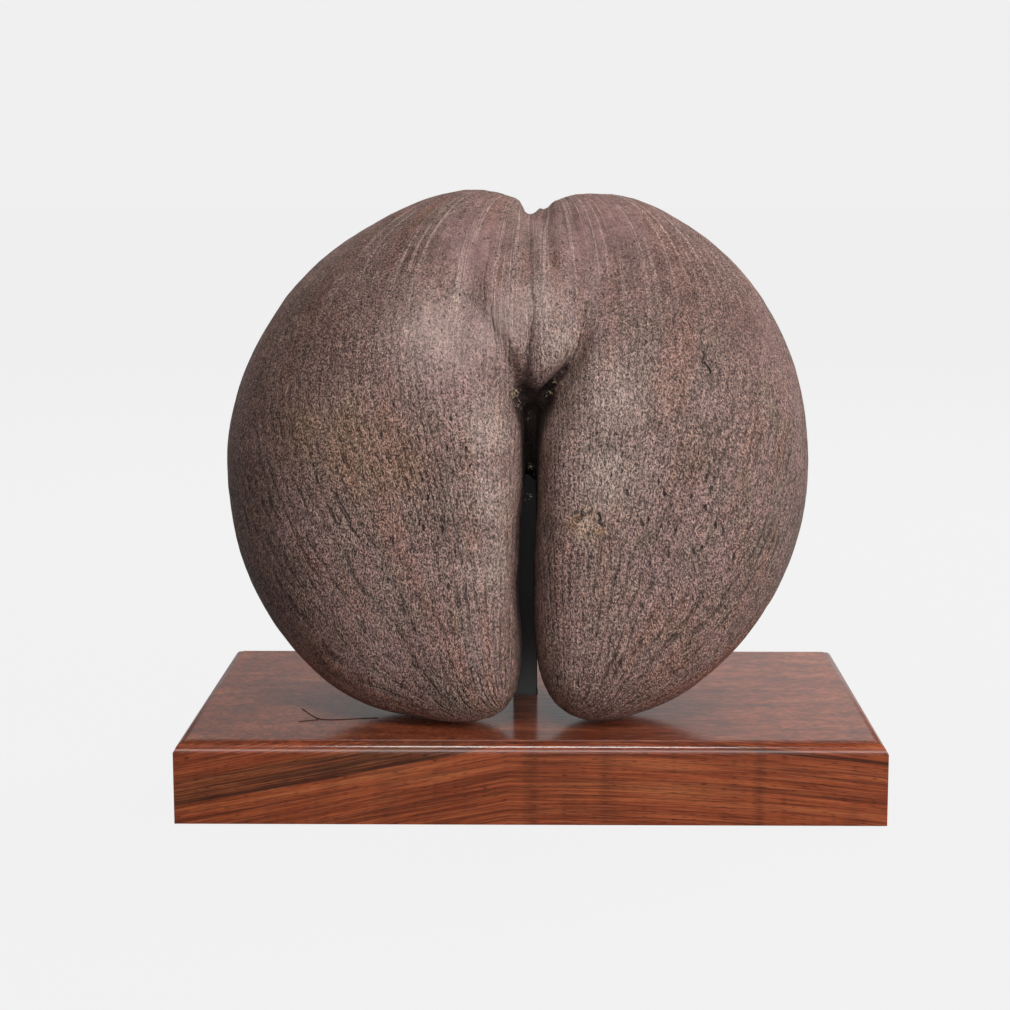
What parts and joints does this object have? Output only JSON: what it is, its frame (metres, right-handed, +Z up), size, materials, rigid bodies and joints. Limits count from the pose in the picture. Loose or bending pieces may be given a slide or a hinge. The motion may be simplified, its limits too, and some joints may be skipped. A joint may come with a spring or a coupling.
{
  "type": "coco de mer nut on a stand",
  "caption": "Whole two-lobed coco de mer nut, cleft down the middle, held upright by a square steel post on a moulded wooden plinth.",
  "frame": {"origin": "centre of the plinth's underside, where the object stands", "axes": "+Z up, +X along the plinth's length to the viewer's right, -Y towards the viewer, who sees the nut's cleft and tongue"},
  "size_m": [0.33, 0.2, 0.2905],
  "materials": {
    "nutshell": "dry pitted nutshell, grey-brown, with a faint rubbed sheen",
    "plinth_wood": "reddish brown rosewood under clear gloss lacquer",
    "post_paint": "satin black paint on square steel bar",
    "fixing_steel": "zinc plated steel"
  },
  "bodies": {
    "root": {"nut": "nutshell", "plinth": "plinth_wood", "post": "post_paint", "post_screw": "fixing_steel", "post_washer": "fixing_steel"}
  },
  "joints": []
}
